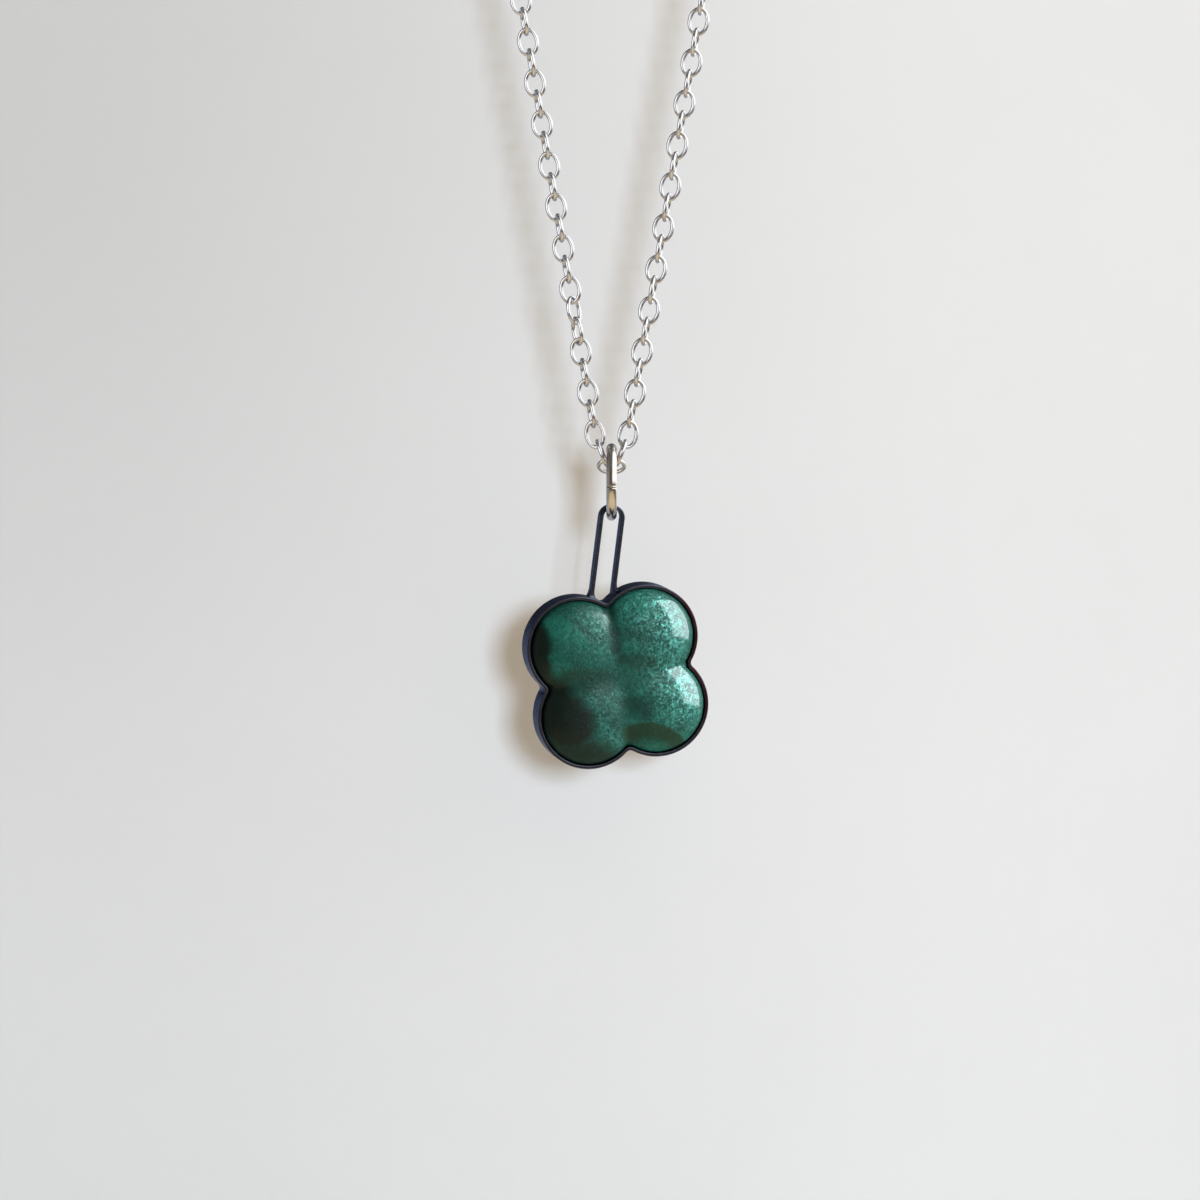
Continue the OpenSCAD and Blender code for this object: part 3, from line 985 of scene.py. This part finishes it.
class PENDANT_OT_clasp(bpy.types.Operator):
    """Make the plain barrel clasp with its two eyes"""

    bl_idname = "pendant.clasp"
    bl_label = "Clasp"

    def execute(self, context):
        c = in_mm(context.scene.chain_sizes)
        radius, eye_r = c.barrel / 2, c.eye_radius
        half = c.clasp_length / 2 - 2 * eye_r
        eye_at = (c.clasp_length - c.eye_wire) / 2 - eye_r
        bm = bmesh.new()
        turned = [bm.verts.new((half + eye_r / 2 - x * half, y * radius, 0)) for x, y in BARREL]
        line = [bm.edges.new(pair) for pair in zip(turned, turned[1:])]
        carry(bm, line + turned, (0, 0, 0), 2 * pi, BARREL_STEPS, axis=(1, 0, 0), close=True)
        mirrored = bmesh.ops.duplicate(bm, geom=bm.verts[:] + bm.edges[:] + bm.faces[:])["geom"]
        bmesh.ops.scale(bm, vec=(-1, 1, 1), verts=only(BMVert, mirrored))
        bmesh.ops.remove_doubles(bm, verts=bm.verts, dist=1e-4)
        bmesh.ops.bridge_loops(bm, edges=[edge for edge in bm.edges if edge.is_boundary])
        for side, roll in ((-1, pi / 2), (1, 0)):
            eye = add_hoop(bm, c.eye_wire / 2, eye_r, EYE_SIDES, EYE_STEPS)
            place = Matrix.Translation((side * eye_at, 0, 0)) @ Matrix.Rotation(roll, 4, "X")
            bmesh.ops.transform(bm, matrix=place, verts=eye)
        tidy(bm)
        clasp = mesh_object("barrel_clasp", bm, set_down((0, 0, radius * MM)))
        clasp.data.set_sharp_from_angle(angle=radians(40))
        colours = context.scene.pendant_colours
        steel = steel_material("clasp steel", colours.steel, grain=9.0, roughness=0.16)
        hand_over(clasp, "necklace", "clasp", steel)
        return {"FINISHED"}


# The photograph's frame: 1200 pixels across 110 mm, with the middle link at this pixel
IMAGE_SIZE = 1200
FRAME_WIDTH = 0.110
MIDDLE_PIXEL = (611.5, 466)

# In metres: how far off the camera, the wall and the floor are, and half the size of the wall and the
# floor. They are this many times as wide
CAMERA_AWAY, WALL_AWAY, FLOOR_BELOW = 0.5, 0.022, 0.06
SHEET_HALF, SHEET_WIDER = 0.5, 1.6

# The room as the polished pieces mirror it, as the camera sees it past the wall and the floor, and its
# share of the soft light
ROOM_FRONT = (0.13, 0.105, 0.10)
ROOM_LEFT = (0.34, 0.34, 0.34)
ROOM_ABOVE = (0.16, 0.165, 0.175)
ROOM_BELOW = (0.95, 0.78, 0.52)
ROOM_BACK = (0.46, 0.48, 0.54)
ROOM_BACK_HIGH = (0.13, 0.135, 0.15)
ROOM_RIGHT = (1.9, 1.95, 2.0)
ROOM_BACKDROP = (0.62, 0.63, 0.64)
ROOM_SHARE = 0.15


def frame_middle():
    """The point in the necklace's plane at the middle of the photograph."""
    pixel = FRAME_WIDTH / IMAGE_SIZE
    return Vector((
        MIDDLE_LINK.x + (IMAGE_SIZE / 2 - MIDDLE_PIXEL[0]) * pixel, 0,
        MIDDLE_LINK.z + (MIDDLE_PIXEL[1] - IMAGE_SIZE / 2) * pixel))


def aim(made, away):
    """Puts a light or the camera so far from the photograph's middle and turns it towards that."""
    made.location = frame_middle() + Vector(away)
    made.rotation_euler = (-Vector(away)).to_track_quat("-Z", "Y").to_euler()


def add_light(name, group, at, size, power, tint, in_gloss=True, shadows=True):
    """A soft square light towards the photograph's middle, for what a linked group says."""
    data = bpy.data.lights.new(name, "AREA")
    data.use_shadow = shadows
    data.size = size
    data.energy = power
    data.color = tint
    made = add_object(name, data)
    aim(made, at)
    made.visible_glossy = in_gloss
    made.light_linking.receiver_collection = group
    return made


def linked_group(name, things, state):
    """A collection of the only things that a light shines on, or of those that it leaves out."""
    group = bpy.data.collections.new(name)
    for thing in things:
        group.objects.link(thing)
    for member in group.collection_objects:
        member.light_linking.link_state = state
    return group


def room_light():
    """A dim room for the metal to mirror, bright right and warm below, and a plain pale one to see."""
    world = bpy.data.worlds.new("room")
    bpy.context.scene.world = world
    world.use_nodes = True
    tree = world.node_tree
    away = xyz(add_node(tree, "TexCoord").outputs["Generated"])
    path = add_node(tree, "LightPath").outputs

    def side(axis, start, full):
        """A mask of one side of the room."""
        return fade(away[axis], start, full)

    back = blended(side("Z", 0.05, 0.22), ROOM_BACK, ROOM_BACK_HIGH)
    tone = ROOM_FRONT
    for mask, part in (
            (side("X", -0.45, -0.95), ROOM_LEFT), (side("Z", 0.2, 0.9), ROOM_ABOVE),
            (times(side("Z", -0.35, -0.6), side("X", -1.0, -0.6)), ROOM_BELOW),
            (side("Y", 0.1, 0.5), back),
            (times(side("X", 0.15, 0.45), side("Z", -0.2, 0.1)), ROOM_RIGHT),
            (path["Is Camera Ray"], ROOM_BACKDROP)):
        tone = blended(mask, tone, part)
    seen = larger(path["Is Glossy Ray"], path["Is Camera Ray"])
    strength = maths("ADD", ROOM_SHARE, times(seen, 1 - ROOM_SHARE))
    feed(tree.nodes["Background"], {"Color": tone, "Strength": strength})


def place_camera():
    """The photograph's camera, straight in front of its middle."""
    lens = bpy.data.cameras.new("camera")
    lens.sensor_fit = "HORIZONTAL"
    lens.lens = lens.sensor_width * CAMERA_AWAY / FRAME_WIDTH
    lens.clip_start = 0.01
    camera = add_object("camera", lens)
    aim(camera, (0, -CAMERA_AWAY, 0))
    bpy.context.scene.camera = camera
    bpy.context.scene.view_settings.view_transform = "Standard"


def make_sheets(colours):
    """The wall and the floor, which a camera behind them looks through."""
    sheets = []
    low = CAD_BOX[0].z - FLOOR_BELOW
    for name, tone, at, turn in (
            ("wall", colours.wall, (0, WALL_AWAY, low + SHEET_HALF), pi / 2),
            ("floor", colours.floor, (0, WALL_AWAY - SHEET_HALF, low), 0)):
        bm = bmesh.new()
        bmesh.ops.create_grid(bm, x_segments=2, y_segments=2, size=SHEET_HALF)
        bmesh.ops.scale(bm, vec=(SHEET_WIDER, 1, 1), verts=bm.verts)
        sheet = mesh_object(name, bm, Matrix.Translation(at) @ Matrix.Rotation(turn, 4, "X"))
        paint = stage_material(name + " paint", tone, shaded=name == "wall")
        see_through_back(paint)
        sheet.data.materials.append(paint)
        sheet.visible_glossy = False
        sheets.append(sheet)
    return sheets


def light_stage(sheets):
    """Two lights for the wall and floor, one for the necklace, one for its chain, one for its stone."""
    stage_only = linked_group("lit alone", sheets, "INCLUDE")
    no_stage = linked_group("left unlit", sheets, "EXCLUDE")
    add_light("wall light", stage_only, at=(0.155, -1.2, 0.055), size=0.14, power=10.0,
              tint=(0.71, 0.835, 0.985), in_gloss=False)
    add_light("fill light", stage_only, at=(0.2, -0.9, 0.36), size=0.8, power=4.4,
              tint=(1.0, 0.695, 0.37), in_gloss=False, shadows=False)
    add_light("side light", no_stage, at=(0.75, -0.8, 0.35), size=0.3, power=6.2,
              tint=(0.95, 0.98, 1.0), in_gloss=False)
    pieces = bpy.data.objects
    if "left_chain" in pieces:
        chain_only = linked_group("lit chain", [pieces["left_chain"], pieces["right_chain"]], "INCLUDE")
        add_light("chain light", chain_only, at=(-0.40, -0.45, 0.15), size=0.6, power=2.1,
                  tint=(0.97, 0.98, 1.0), shadows=False)
    if "green_stone" in pieces:
        stone_only = linked_group("lit stone", [pieces["green_stone"]], "INCLUDE")
        window = add_light("window", stone_only, at=(0.46, -0.13, 0.16), size=0.54, power=34.0,
                           tint=(0.86, 0.94, 1.0))
        window.visible_diffuse = False


class PENDANT_OT_stage(bpy.types.Operator):
    """Set the camera, the lights, the wall and the floor"""

    bl_idname = "pendant.stage"
    bl_label = "Stage"

    def execute(self, context):
        place_camera()
        light_stage(make_sheets(context.scene.pendant_colours))
        room_light()
        return {"FINISHED"}


class PENDANT_PT_sidebar(bpy.types.Panel):
    """Sizes, colours and pieces of the pendant"""

    bl_label = "Clover pendant"
    bl_idname = "PENDANT_PT_sidebar"
    bl_space_type = "VIEW_3D"
    bl_region_type = "UI"
    bl_category = "Pendant"

    def draw(self, context):
        layout = self.layout
        for operator in OPERATORS:
            layout.operator(operator.bl_idname)
        for title, group in (
                ("Pendant", context.scene.pendant_sizes), ("Chain", context.scene.chain_sizes),
                ("Colours", context.scene.pendant_colours)):
            box = layout.box()
            box.label(text=title)
            for name in group.__annotations__:
                box.prop(group, name)


GROUPS = {"pendant_sizes": PendantSizes, "chain_sizes": ChainSizes, "pendant_colours": PendantColours}
OPERATORS = (
    PENDANT_OT_setting, PENDANT_OT_stone, PENDANT_OT_ring, PENDANT_OT_chain, PENDANT_OT_clasp,
    PENDANT_OT_stage)


def register():
    """Registers the classes and hangs the settings on the scene."""
    for made in (*GROUPS.values(), *OPERATORS, PENDANT_PT_sidebar):
        bpy.utils.register_class(made)
    for name, group in GROUPS.items():
        setattr(bpy.types.Scene, name, PointerProperty(type=group))


def unregister():
    """Takes the settings and the classes away again."""
    for name in GROUPS:
        delattr(bpy.types.Scene, name)
    for made in (PENDANT_PT_sidebar, *reversed(OPERATORS), *GROUPS.values()):
        bpy.utils.unregister_class(made)


def main():
    """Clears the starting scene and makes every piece."""
    register()
    for name in ("Cube", "Light", "Camera"):
        if name in bpy.data.objects:
            bpy.data.objects.remove(bpy.data.objects[name])
    make_wear_group()
    make_cloud_group()
    make_fleck_group()
    bpy.ops.pendant.setting()
    bpy.ops.pendant.stone()
    bpy.ops.pendant.ring()
    bpy.ops.pendant.chain()
    bpy.ops.pendant.clasp()
    bpy.ops.pendant.stage()


if __name__ == "__main__":
    main()
